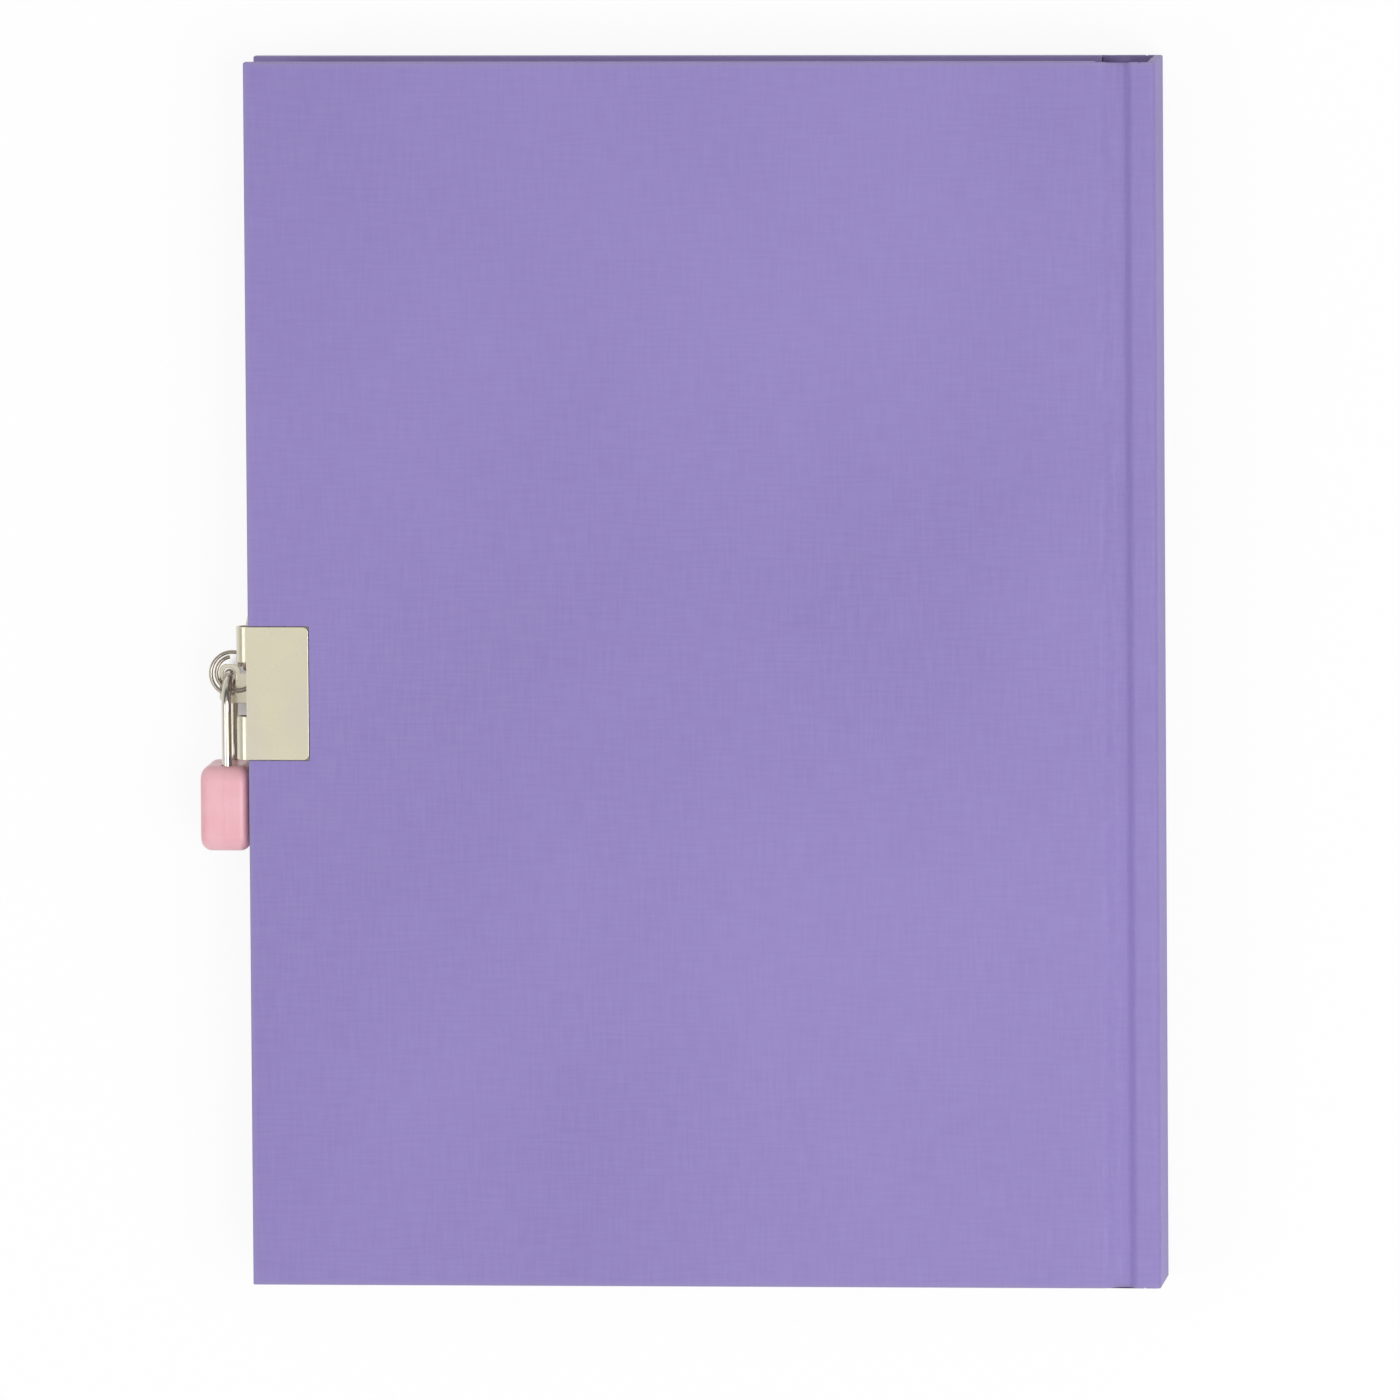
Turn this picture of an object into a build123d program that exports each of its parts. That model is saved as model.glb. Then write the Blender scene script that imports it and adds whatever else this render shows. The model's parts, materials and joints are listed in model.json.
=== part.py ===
from build123d import *
import os
from math import cos, radians, sin, sqrt

# A case-bound diary that lies on its front cover, closed and locked.
# +X runs from the fore-edge to the spine, +Y to the head, +Z up out of the back cover.
# The origin is the centre of the front cover's outer face, which is the face it rests on.

os.makedirs("parts", exist_ok=True)

# Case
cover_width = 165.0  # fore-edge of the boards to the outer face of the spine
cover_height = 222.0
board_thickness = 2.7
paper_thickness = 0.3  # embossed paper that covers the case
endpaper_thickness = 0.15
turn_in = 15.0  # covering paper folded over the board's inner face
pastedown_margin = 4.0  # bare turn-in left round the pastedown
spine_card_thickness = 1.2
spine_corner = 1.0  # outer radius where the spine turns into the covers

# Hinge groove between the boards and the spine
joint_width = 10.85  # board's edge to the outer face of the spine
groove_width = 6.9
groove_depth = 1.1
groove_board_slope = 4.0  # run of the long side that falls away from the board
groove_spine_slope = 2.2
joint_thickness = 0.6  # covering paper and its cloth lining
joint_gap = 0.1  # fold line left open beside the spine

# Book block
section_count = 8
section_thickness = 1.65
head_square = 3.0  # cover past the leaves at head and tail
fore_square = 5.0  # cover past the leaves at the fore-edge
cover_gap = 0.1  # play between the flyleaves and the pastedowns
spine_gap = 0.3  # hollow between the folds and the spine card

# Clasp plates, each bent from one strip of sheet steel
sheet = 0.5
clip_top_y = 8.8
clip_height = 24.2
leaf_length = 11.0  # outer leaf on the board
leaf_corner = 1.0
back_leaf_proud = 0.2  # the back plate stands this far out of the cover, the front one is flush
inner_leaf_length = 3.7
knuckle_reach = 0.4  # straight run past the board's edge before the round bend
upper_knuckle = 6.5
lower_knuckle = 7.9
window_lip = 0.3  # flat edge of the outer leaf between the two round bends
inner_leaf_window = 1.0
ear_gap = 0.1  # between the two ears when the book is shut
ear_reach = 1.8  # rim beyond the centre of the slot, at the ear's end
ear_rim = 0.6
ear_root_rim = 2.0
ear_slot_width = 2.2
ear_slot_length = 5.4
ear_round = 1.2
neck_width = 5.5

# Shackle
wire = 1.8
shackle_span = 10.6  # between the centre lines of the two legs
shackle_offset = 4.5  # centre line to the fore-edge of the boards
crown_top_y = -0.6  # centre line of the bend's top
leg_exposed = 10.9  # straight leg above the lock body
toe_engaged = 5.5
heel_depth = 13.0
leg_end_chamfer = 0.25

# Lock body: two moulded shells round a metal core
lock_height = 15.5
lock_depth = 8.9
lock_side = 3.2  # centre line of a leg to the side of the body
lock_board_gap = 0.3  # between the body and the boards' edge
lock_corner = 3.0
lock_front_round = 2.0
lock_rear_round = 1.8
shell_wall = 0.9
shell_fit = 0.05
leg_clearance = 0.2  # round each leg in its bore

# Lock works
release_travel = 5.9  # body drops this far when unlocked
latch_travel = 2.4
latch_thickness = 0.8
latch_depth = 1.3  # top of the core to the latch
latch_nose_width = 1.8
latch_nose_length = 1.95
latch_bar = 0.8
latch_side_rim = 0.6
latch_play = 0.1
notch_depth = 0.6
spring_wire = 0.3
spring_mean_radius = 0.65
spring_turns = 6
spring_seat_wall = 0.8
stop_pin_diameter = 1.0
stop_pin_play = 0.05
stop_pin_depth = 4.4  # top of the core to the pin
stop_flat_depth = 0.5
plug_diameter = 5.5
plug_play = 0.1
plug_face_recess = 0.2
cam_pin_diameter = 1.2
cam_slot_play = 0.12
keyway_width = 1.0
keyway_height = 4.0
keyway_depth = 9.0
wafer_count = 3
wafer_thickness = 0.6
wafer_width = 3.2
wafer_pitch = 2.2
wafer_first = 2.0  # face of the plug to the first wafer
wafer_play = 0.05
wafer_flush = 0.15
wafer_window_width = 1.6
wafer_window_height = 2.4

# Key ring, one wire in a turn and a half
ring_wire = 0.7
ring_radius = 3.9  # centre line of the outer turn
ring_step = 0.9  # the inner turn lies this much closer in
ring_pitch = 0.8  # rise for each whole turn
ring_centre_offset = 3.75  # to the fore-edge of the boards
ring_centre_y = -0.4
ring_lift = 0.3  # above the upper ear
ring_start_angle = 100.0
ring_end_angle = 600.0
ring_step_start_angle = 245.0
ring_step_end_angle = 335.0
ring_piece_angle = 50.0  # each stretch is drawn as two tangent arcs

# Keys, stamped from sheet
key_thickness = 0.8
key_angles = (61.0, 43.0)  # where each key hangs on the ring
key_lean = 12.0  # off the book's long direction, into the fore-edge recess
key_bow_radius = 3.8
key_hole_radius = 1.5
key_rim = 0.7
key_length = 22.0  # hole to tip
key_shank = 3.0
key_tip = 1.0
key_notch_count = 4
key_notch_depth = 0.8
key_notch_width = 1.5
key_notch_pitch = 2.4

overrun = 1.0  # cuts run this far past the faces that they open

# Levels and edges that follow from these sizes
fore_x = -cover_width / 2
spine_x = cover_width / 2
head_y = cover_height / 2
board_spine_x = spine_x - joint_width
cover_inner_z = paper_thickness + board_thickness
pastedown_z = cover_inner_z + endpaper_thickness
flyleaf_z = pastedown_z + cover_gap
block_z = flyleaf_z + endpaper_thickness
block_top_z = block_z + section_count * section_thickness
book_thickness = block_top_z + block_z
mid_z = book_thickness / 2
mid_plane = Plane.XY.offset(mid_z)
spine_inner_x = spine_x - paper_thickness - spine_card_thickness
block_spine_x = spine_inner_x - spine_gap
block_fore_x = fore_x + fore_square
block_head_y = head_y - head_square

clip_low_y = clip_top_y - clip_height
window_top_y = clip_top_y - upper_knuckle
window_low_y = clip_low_y + lower_knuckle
shackle_x = fore_x - shackle_offset
toe_z = mid_z - shackle_span / 2
heel_z = mid_z + shackle_span / 2
crown_centre_y = crown_top_y - shackle_span / 2
lock_top_y = crown_centre_y - leg_exposed
lock_low_y = lock_top_y - lock_height
lock_width = shackle_span + 2 * lock_side
lock_rear_x = fore_x - lock_board_gap
lock_front_x = lock_rear_x - lock_depth
seam_x = (lock_front_x + lock_rear_x) / 2
core_inset = shell_wall + shell_fit
core_top_y = lock_top_y - core_inset
core_low_y = lock_low_y + core_inset
core_rear_x = lock_rear_x - core_inset


def span_box(x_span, y_span, z_span, mode=Mode.ADD):
    """Box between two X, two Y and two Z values."""
    spans = (x_span, y_span, z_span)
    with Locations(tuple((low + high) / 2 for low, high in spans)):
        Box(*[high - low for low, high in spans], mode=mode)


def level(y):
    """Plane across the book at height y on the cover; local axes are X and Z, normal is -Y."""
    return Plane.XZ.offset(-y)


def round_cut(x, z, radius, y_from, y_to):
    """Bore along -Y at (x, z), cut from the part that is being built."""
    with Locations(Location((x, (y_from + y_to) / 2, z), (90, 0, 0))):
        Cylinder(radius, abs(y_to - y_from), mode=Mode.SUBTRACT)


# Clasp plate, in the place of the front one; leaf_proud is how far its outer leaf stands out
def clasp_plate(leaf_proud):
    outer_z = -leaf_proud
    inner_z = cover_inner_z + sheet
    bend_x = fore_x - knuckle_reach
    bend_radius = (inner_z - outer_z) / 2
    leaf_x = fore_x + leaf_length
    root_x = fore_x + inner_leaf_length
    ear_top_z = mid_z - ear_gap / 2
    slot_low_y = crown_top_y + ear_slot_width / 2 - ear_slot_length
    ear_low_y = slot_low_y - ear_rim - sheet
    ear_high_y = crown_top_y + ear_slot_width / 2 + ear_rim
    ear_tip_x = shackle_x - ear_reach
    with BuildPart() as plate:
        # outer leaf, with its lip in the window
        with BuildSketch(Plane.XY.offset(outer_z)):
            with BuildLine():
                Polyline(
                    (bend_x, clip_top_y),
                    (leaf_x, clip_top_y),
                    (leaf_x, clip_low_y),
                    (bend_x, clip_low_y),
                    (bend_x, window_low_y),
                    (fore_x - window_lip, window_low_y),
                    (fore_x - window_lip, window_top_y),
                    (bend_x, window_top_y),
                    close=True,
                )
            leaf_outline = make_face()
            far_corners = leaf_outline.vertices().group_by(Axis.X)[-1]
            fillet(far_corners, leaf_corner)
        extrude(amount=sheet)
        # the two round bends and the inner leaf that they carry
        for bend_top, bend_low in ((clip_top_y, window_top_y), (window_low_y, clip_low_y)):
            with BuildSketch(level(bend_top)):
                with BuildLine():
                    Line((leaf_x - leaf_corner, outer_z), (bend_x, outer_z))
                    ThreePointArc(
                        (bend_x, outer_z),
                        (bend_x - bend_radius, outer_z + bend_radius),
                        (bend_x, inner_z),
                    )
                    Line((bend_x, inner_z), (root_x, inner_z))
                    offset(amount=sheet, side=Side.RIGHT, closed=True)
                make_face()
            extrude(amount=bend_top - bend_low)
        span_box(
            (fore_x + inner_leaf_window, root_x),
            (window_low_y, window_top_y),
            (cover_inner_z, inner_z),
        )
        # tongue that stands up from the inner leaf inside the fore-edge recess
        neck_y = (ear_low_y, ear_low_y + neck_width)
        span_box((root_x - sheet, root_x), neck_y, (cover_inner_z, ear_top_z))
        # ear, with the slot that the shackle passes through
        with BuildSketch(Plane.XY.offset(ear_top_z - sheet)):
            with BuildLine():
                Polyline(
                    (ear_tip_x, ear_low_y),
                    (root_x, ear_low_y),
                    (root_x, ear_low_y + neck_width),
                    (shackle_x + ear_root_rim, ear_low_y + neck_width),
                    (shackle_x + ear_root_rim, ear_high_y),
                    (ear_tip_x, ear_high_y),
                    close=True,
                )
            ear_outline = make_face()
            tip_corners = ear_outline.vertices().group_by(Axis.X)[0]
            root_corner = ear_outline.vertices().filter_by_position(
                Axis.X, shackle_x + ear_root_rim - sheet, shackle_x + ear_root_rim + sheet
            ).sort_by(Axis.Y)[-1]
            fillet([*tip_corners, root_corner], ear_round)
            with Locations((shackle_x, crown_top_y + (ear_slot_width - ear_slot_length) / 2)):
                SlotOverall(ear_slot_length, ear_slot_width, rotation=90, mode=Mode.SUBTRACT)
        extrude(amount=sheet)
    return plate


front_clip = clasp_plate(0)
front_clip.part.label = "front_clip"
export_step(front_clip.part, "parts/front_clip.step")

back_plate = clasp_plate(back_leaf_proud)
with BuildPart() as back_clip:
    mirror(back_plate.part, about=mid_plane)
back_clip.part.label = "back_clip"
export_step(back_clip.part, "parts/back_clip.step")


# Board, stepped down round three edges so that the turned-in paper lies level
def board_solid():
    with BuildPart() as board:
        span_box(
            (fore_x + paper_thickness, board_spine_x),
            (-head_y + paper_thickness, head_y - paper_thickness),
            (paper_thickness, board_thickness),
        )
        span_box(
            (fore_x + turn_in, board_spine_x),
            (-head_y + turn_in, head_y - turn_in),
            (board_thickness, cover_inner_z),
        )
    return board


# Side of the groove: two equal arcs that leave and meet the flats without a corner
def groove_side(start, end):
    middle = ((start[0] + end[0]) / 2, (start[1] + end[1]) / 2)
    first = TangentArc(start, middle, tangent=(1, 0))
    TangentArc(middle, end, tangent=first % 1)


# Covering paper of one cover: outer sheet, three turned-over edges, turn-ins and the hinge strip
def cover_paper_solid(clip_part):
    shoulder_x = board_spine_x + groove_width
    strip_end_x = spine_inner_x - joint_gap
    with BuildPart() as paper:
        span_box((fore_x, board_spine_x), (-head_y, head_y), (0, cover_inner_z))
        add(board_solid().part, mode=Mode.SUBTRACT)
        with BuildSketch(level(head_y)):
            with BuildLine():
                groove_side((board_spine_x, 0), (board_spine_x + groove_board_slope, groove_depth))
                Line(
                    (board_spine_x + groove_board_slope, groove_depth),
                    (shoulder_x - groove_spine_slope, groove_depth),
                )
                groove_side((shoulder_x - groove_spine_slope, groove_depth), (shoulder_x, 0))
                Line((shoulder_x, 0), (strip_end_x, 0))
                offset(amount=joint_thickness, side=Side.LEFT, closed=True)
            make_face()
        extrude(amount=cover_height)
        add(clip_part, mode=Mode.SUBTRACT)
    return paper


with BuildPart() as front_board:
    add(board_solid().part)
    add(front_clip.part, mode=Mode.SUBTRACT)
front_board.part.label = "front_board"
export_step(front_board.part, "parts/front_board.step")

front_cover_paper = cover_paper_solid(front_clip.part)
front_cover_paper.part.label = "front_cover_paper"
export_step(front_cover_paper.part, "parts/front_cover_paper.step")

with BuildPart() as back_board:
    mirror(board_solid().part, about=mid_plane)
    add(back_clip.part, mode=Mode.SUBTRACT)
back_board.part.label = "back_board"
export_step(back_board.part, "parts/back_board.step")

back_paper_below = cover_paper_solid(back_plate.part)
with BuildPart() as back_cover_paper:
    mirror(back_paper_below.part, about=mid_plane)
back_cover_paper.part.label = "back_cover_paper"
export_step(back_cover_paper.part, "parts/back_cover_paper.step")

# Pastedowns
with BuildPart() as front_pastedown:
    span_box(
        (fore_x + pastedown_margin, board_spine_x),
        (-head_y + pastedown_margin, head_y - pastedown_margin),
        (cover_inner_z, pastedown_z),
    )
front_pastedown.part.label = "front_pastedown"
export_step(front_pastedown.part, "parts/front_pastedown.step")

with BuildPart() as back_pastedown:
    mirror(front_pastedown.part, about=mid_plane)
back_pastedown.part.label = "back_pastedown"
export_step(back_pastedown.part, "parts/back_pastedown.step")


# Spine: a card strip with the covering paper round its outer face and over its two ends
def spine_block(x_to, inset, corner):
    with BuildPart() as block:
        with BuildSketch(level(head_y - inset)):
            with Locations(((spine_inner_x + x_to) / 2, mid_z)):
                outline = Rectangle(x_to - spine_inner_x, book_thickness - 2 * inset)
            outer_corners = outline.vertices().group_by(Axis.X)[-1]
            fillet(outer_corners, corner)
        extrude(amount=cover_height - 2 * inset)
    return block


spine_card = spine_block(spine_x - paper_thickness, paper_thickness, spine_corner - paper_thickness)
spine_card.part.label = "spine_card"
export_step(spine_card.part, "parts/spine_card.step")

with BuildPart() as spine_cover_paper:
    add(spine_block(spine_x, 0, spine_corner).part)
    add(spine_card.part, mode=Mode.SUBTRACT)
spine_cover_paper.part.label = "spine_cover_paper"
export_step(spine_cover_paper.part, "parts/spine_cover_paper.step")


# Flyleaves and sewn sections, stacked from the front cover up
def leaf_stack(name, z_from, thickness):
    with BuildPart() as stack:
        span_box(
            (block_fore_x, block_spine_x),
            (-block_head_y, block_head_y),
            (z_from, z_from + thickness),
        )
    stack.part.label = name
    export_step(stack.part, f"parts/{name}.step")


leaf_stack("front_flyleaf", flyleaf_z, endpaper_thickness)
for number in range(section_count):
    leaf_stack(f"section_{number + 1}", block_z + number * section_thickness, section_thickness)
leaf_stack("back_flyleaf", block_top_z, endpaper_thickness)

# Shackle, bent from round wire, with a ramped notch in the toe and a long flat on the heel
notch_z = toe_z + wire / 2 - notch_depth
latch_top_y = core_top_y - latch_depth
latch_low_y = latch_top_y - latch_thickness
notch_top_y = latch_top_y + latch_play
notch_low_y = latch_low_y - latch_play
ramp_run = notch_depth * release_travel / latch_travel
stop_pin_y = core_top_y - stop_pin_depth
stop_pin_z = heel_z - wire / 2 + stop_flat_depth - stop_pin_play - stop_pin_diameter / 2
flat_top_y = stop_pin_y + stop_pin_diameter / 2 + latch_play
flat_low_y = stop_pin_y - release_travel - stop_pin_diameter / 2 - latch_play

with BuildPart() as shackle:
    toe_end_y = lock_top_y - toe_engaged
    heel_end_y = lock_top_y - heel_depth
    with BuildLine(Plane.YZ.offset(shackle_x)) as shackle_path:
        Line((toe_end_y, toe_z), (crown_centre_y, toe_z))
        ThreePointArc((crown_centre_y, toe_z), (crown_top_y, mid_z), (crown_centre_y, heel_z))
        Line((crown_centre_y, heel_z), (heel_end_y, heel_z))
    with BuildSketch(Plane(origin=(shackle_x, toe_end_y, toe_z), z_dir=(0, 1, 0))):
        Circle(wire / 2)
    sweep(path=shackle_path.line)
    leg_ends = shackle.faces().filter_by(GeomType.PLANE).sort_by(Axis.Y)[:2]
    chamfer(leg_ends.edges(), leg_end_chamfer)
    with BuildSketch(Plane.YZ.offset(shackle_x)):
        with BuildLine():
            Polyline(
                (notch_top_y, notch_z),
                (notch_low_y, notch_z),
                (notch_low_y - ramp_run, notch_z + notch_depth),
                (notch_low_y - ramp_run, toe_z + wire),
                (notch_top_y, toe_z + wire),
                close=True,
            )
        make_face()
    extrude(amount=wire, both=True, mode=Mode.SUBTRACT)
    span_box(
        (shackle_x - wire, shackle_x + wire),
        (flat_low_y, flat_top_y),
        (heel_z - wire, heel_z - wire / 2 + stop_flat_depth),
        mode=Mode.SUBTRACT,
    )
shackle.part.label = "shackle"
export_step(shackle.part, "parts/shackle.step")


# Rounded block of the lock body, drawn in from its outer faces by inset
def lock_block(inset):
    with BuildPart() as block:
        with BuildSketch(Plane.YZ.offset(lock_front_x + inset)):
            with Locations(((lock_top_y + lock_low_y) / 2, mid_z)):
                RectangleRounded(
                    lock_height - 2 * inset, lock_width - 2 * inset, lock_corner - inset
                )
        extrude(amount=lock_depth - 2 * inset)
        fillet(block.faces().sort_by(Axis.X)[-1].edges(), lock_rear_round - inset)
        fillet(block.faces().sort_by(Axis.X)[0].edges(), lock_front_round - inset)
    return block


leg_bore_radius = wire / 2 + leg_clearance
plug_bore_radius = plug_diameter / 2 + plug_play
plug_x = (lock_front_x + lock_rear_x) / 2


# One shell, kept on one side of the seam
def lock_shell(side):
    with BuildPart() as shell:
        add(lock_block(0).part)
        add(lock_block(shell_wall).part, mode=Mode.SUBTRACT)
        for leg_z in (toe_z, heel_z):
            round_cut(
                shackle_x, leg_z, leg_bore_radius, lock_top_y + overrun, core_top_y - lock_corner
            )
        bore_top_y = core_low_y + lock_front_round
        round_cut(plug_x, mid_z, plug_bore_radius, bore_top_y, lock_low_y - overrun)
        split(bisect_by=Plane.YZ.offset(seam_x), keep=side)
    return shell


lock_shell_rear = lock_shell(Keep.TOP)
lock_shell_rear.part.label = "lock_shell_rear"
export_step(lock_shell_rear.part, "parts/lock_shell_rear.step")

lock_shell_front = lock_shell(Keep.BOTTOM)
lock_shell_front.part.label = "lock_shell_front"
export_step(lock_shell_front.part, "parts/lock_shell_front.step")

# Latch, a flat plate whose nose sits in the toe's notch; the plug's cam pin works in its slot
cam_radius = latch_travel / sqrt(2)  # a quarter turn carries the pin across this chord
cam_rest_x = plug_x + latch_travel / 2
cam_rest_z = mid_z - latch_travel / 2
nose_tip_z = notch_z + latch_play
bar_low_z = nose_tip_z + latch_nose_length
bar_top_z = bar_low_z + latch_bar
slot_half_z = cam_pin_diameter / 2 + cam_slot_play
slot_from_x = cam_rest_x - slot_half_z
slot_to_x = plug_x + cam_radius + slot_half_z
spring_y = (latch_top_y + latch_low_y) / 2
spring_outer_radius = spring_mean_radius + spring_wire / 2
spring_x = slot_from_x - latch_side_rim - latch_play - spring_outer_radius
spring_seat_z = heel_z - leg_bore_radius - spring_seat_wall
spring_pocket = spring_outer_radius + latch_play
latch_from_x = spring_x - spring_outer_radius
latch_to_x = slot_to_x + latch_side_rim

with BuildPart() as lock_latch:
    latch_y = (latch_low_y, latch_top_y)
    span_box(
        (shackle_x - latch_nose_width / 2, shackle_x + latch_nose_width / 2),
        latch_y,
        (nose_tip_z, bar_low_z),
    )
    span_box((latch_from_x, latch_to_x), latch_y, (bar_low_z, bar_top_z))
    span_box(
        (slot_from_x - latch_side_rim, latch_to_x),
        latch_y,
        (bar_top_z, cam_rest_z + slot_half_z + latch_side_rim),
    )
    span_box(
        (slot_from_x, slot_to_x),
        (latch_low_y - overrun, latch_top_y + overrun),
        (cam_rest_z - slot_half_z, cam_rest_z + slot_half_z),
        mode=Mode.SUBTRACT,
    )
lock_latch.part.label = "lock_latch"
export_step(lock_latch.part, "parts/lock_latch.step")

# Core that carries both legs, the latch channel, the stop pin and the plug
channel_low_y = latch_low_y - latch_play
plug_top_y = spring_y - spring_pocket - plug_play
with BuildPart() as lock_core:
    add(lock_block(core_inset).part)
    toe_bore_low_y = lock_top_y - toe_engaged - latch_thickness
    heel_bore_low_y = lock_top_y - heel_depth - latch_bar / 2
    round_cut(shackle_x, toe_z, leg_bore_radius, core_top_y + overrun, toe_bore_low_y)
    round_cut(shackle_x, heel_z, leg_bore_radius, core_top_y + overrun, heel_bore_low_y)
    round_cut(plug_x, mid_z, plug_bore_radius, channel_low_y, core_low_y - overrun)
    with Locations(Location((plug_x, stop_pin_y, stop_pin_z), (0, 90, 0))):
        Cylinder(stop_pin_diameter / 2, lock_depth, mode=Mode.SUBTRACT)
    span_box(
        (latch_from_x - latch_play, core_rear_x + overrun),
        (channel_low_y, latch_top_y + latch_play),
        (toe_z, spring_seat_z),
        mode=Mode.SUBTRACT,
    )
    span_box(
        (spring_x - spring_pocket, spring_x + spring_pocket),
        (spring_y - spring_pocket, spring_y + spring_pocket),
        (bar_top_z, spring_seat_z),
        mode=Mode.SUBTRACT,
    )
lock_core.part.label = "lock_core"
export_step(lock_core.part, "parts/lock_core.step")

with BuildPart() as lock_stop_pin:
    pin_length = lock_depth - 2 * core_inset
    with Locations(Location((plug_x, stop_pin_y, stop_pin_z), (0, 90, 0))):
        Cylinder(stop_pin_diameter / 2, pin_length)
lock_stop_pin.part.label = "lock_stop_pin"
export_step(lock_stop_pin.part, "parts/lock_stop_pin.step")

# Plug, with its keyway, its wafer slots and the cam pin on its inner end
plug_face_y = lock_low_y + plug_face_recess
wafer_spots = [
    plug_face_y + wafer_first + number * wafer_pitch for number in range(wafer_count)
]
with BuildPart() as lock_plug:
    with BuildSketch(level(plug_top_y)):
        with Locations((plug_x, mid_z)):
            Circle(plug_diameter / 2)
    extrude(amount=plug_top_y - plug_face_y)
    with BuildSketch(level(latch_top_y)):
        with Locations((cam_rest_x, cam_rest_z)):
            Circle(cam_pin_diameter / 2)
    extrude(amount=latch_top_y - plug_top_y)
    span_box(
        (plug_x - keyway_width / 2, plug_x + keyway_width / 2),
        (plug_face_y - overrun, plug_face_y + keyway_depth),
        (mid_z - keyway_height / 2, mid_z + keyway_height / 2),
        mode=Mode.SUBTRACT,
    )
    for spot in wafer_spots:
        span_box(
            (plug_x - wafer_width / 2 - wafer_play, plug_x + wafer_width / 2 + wafer_play),
            (spot - wafer_play, spot + wafer_thickness + wafer_play),
            (mid_z - plug_diameter, mid_z + plug_diameter),
            mode=Mode.SUBTRACT,
        )
lock_plug.part.label = "lock_plug"
export_step(lock_plug.part, "parts/lock_plug.step")

# Wafers, each a plate with a window for the key, drawn level with the plug's round face
wafer_reach = sqrt((plug_diameter / 2) ** 2 - (wafer_width / 2) ** 2) - wafer_flush
with BuildPart() as lock_wafers:
    for spot in wafer_spots:
        span_box(
            (plug_x - wafer_width / 2, plug_x + wafer_width / 2),
            (spot, spot + wafer_thickness),
            (mid_z - wafer_reach, mid_z + wafer_reach),
        )
        span_box(
            (plug_x - wafer_window_width / 2, plug_x + wafer_window_width / 2),
            (spot - overrun, spot + wafer_thickness + overrun),
            (mid_z - wafer_window_height / 2, mid_z + wafer_window_height / 2),
            mode=Mode.SUBTRACT,
        )
lock_wafers.part.label = "lock_wafers"
export_step(lock_wafers.part, "parts/lock_wafers.step")


# A wire bent along points and directions, each stretch as two arcs that share a tangent
def two_arcs(start, start_way, end, end_way):
    across = end - start
    ways = start_way + end_way
    spread = 2 * (1 - start_way.dot(end_way))
    reach = (-across.dot(ways) + sqrt(across.dot(ways) ** 2 + spread * across.dot(across))) / spread
    join = (start + end + (start_way - end_way) * reach) / 2
    first = TangentArc(start, join, tangent=start_way)
    TangentArc(join, end, tangent=first % 1)


def least_gap(points, thickness, turn_points):
    """Smallest clear distance between stretches of a wire that are most of a turn apart."""
    gap = None
    for low in range(len(points)):
        for high in range(low + turn_points, len(points)):
            clear = (points[low] - points[high]).length - thickness
            gap = clear if gap is None else min(gap, clear)
    return gap


def bent_wire(place, way, angles, thickness):
    """Round wire swept along place(angle), whose direction there is way(angle)."""
    with BuildPart() as bent:
        with BuildLine() as path:
            for low, high in zip(angles, angles[1:]):
                two_arcs(place(low), way(low), place(high), way(high))
        with BuildSketch(Plane(origin=place(angles[0]), z_dir=way(angles[0]))):
            Circle(thickness / 2)
        sweep(path=path.line)
    return bent


def direction(place, angle):
    """Unit direction of a curve at one angle, from a short chord on each side."""
    small = 0.01
    return (place(angle + small) - place(angle - small)).normalized()


# Latch spring, wound along Z
spring_length = spring_seat_z - bar_top_z - spring_wire - 2 * shell_fit


def spring_place(angle):
    turn_share = angle / 360
    return Vector(
        spring_x + spring_mean_radius * cos(radians(angle)),
        spring_y + spring_mean_radius * sin(radians(angle)),
        bar_top_z + spring_wire / 2 + shell_fit + spring_length * turn_share / spring_turns,
    )


quarter_turns = [90 * step for step in range(4 * spring_turns + 1)]
latch_spring = bent_wire(
    spring_place, lambda angle: direction(spring_place, angle), quarter_turns, spring_wire
)
latch_spring.part.label = "latch_spring"
export_step(latch_spring.part, "parts/latch_spring.step")

# Key ring: the inner turn leads into the outer one on the side towards the book
ring_base_z = mid_z + ear_gap / 2 + sheet + ring_lift + ring_wire / 2
ring_centre_x = fore_x - ring_centre_offset


def ring_place(angle):
    step_share = (angle - ring_step_start_angle) / (ring_step_end_angle - ring_step_start_angle)
    step_share = min(max(step_share, 0), 1)
    eased_share = step_share * step_share * (3 - 2 * step_share)
    radius = ring_radius - ring_step * (1 - eased_share)
    return Vector(
        ring_centre_x + radius * cos(radians(angle)),
        ring_centre_y + radius * sin(radians(angle)),
        ring_base_z + ring_pitch * (angle - ring_start_angle) / 360,
    )


ring_stretches = round((ring_end_angle - ring_start_angle) / ring_piece_angle)
ring_stops = [
    ring_start_angle + (ring_end_angle - ring_start_angle) * step / ring_stretches
    for step in range(ring_stretches + 1)
]
key_ring = bent_wire(ring_place, lambda angle: direction(ring_place, angle), ring_stops, ring_wire)
key_ring.part.label = "key_ring"
export_step(key_ring.part, "parts/key_ring.step")

for name, place, stops, thickness in (
    ("key_ring", ring_place, ring_stops, ring_wire),
    ("latch_spring", spring_place, quarter_turns, spring_wire),
):
    fine_angles = [stops[0] + (stops[-1] - stops[0]) * step / 400 for step in range(401)]
    turn_points = int(300 / (fine_angles[1] - fine_angles[0]))
    gap = least_gap([place(angle) for angle in fine_angles], thickness, turn_points)
    print(f"{name}: least gap between its turns {gap:.2f} mm")


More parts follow.
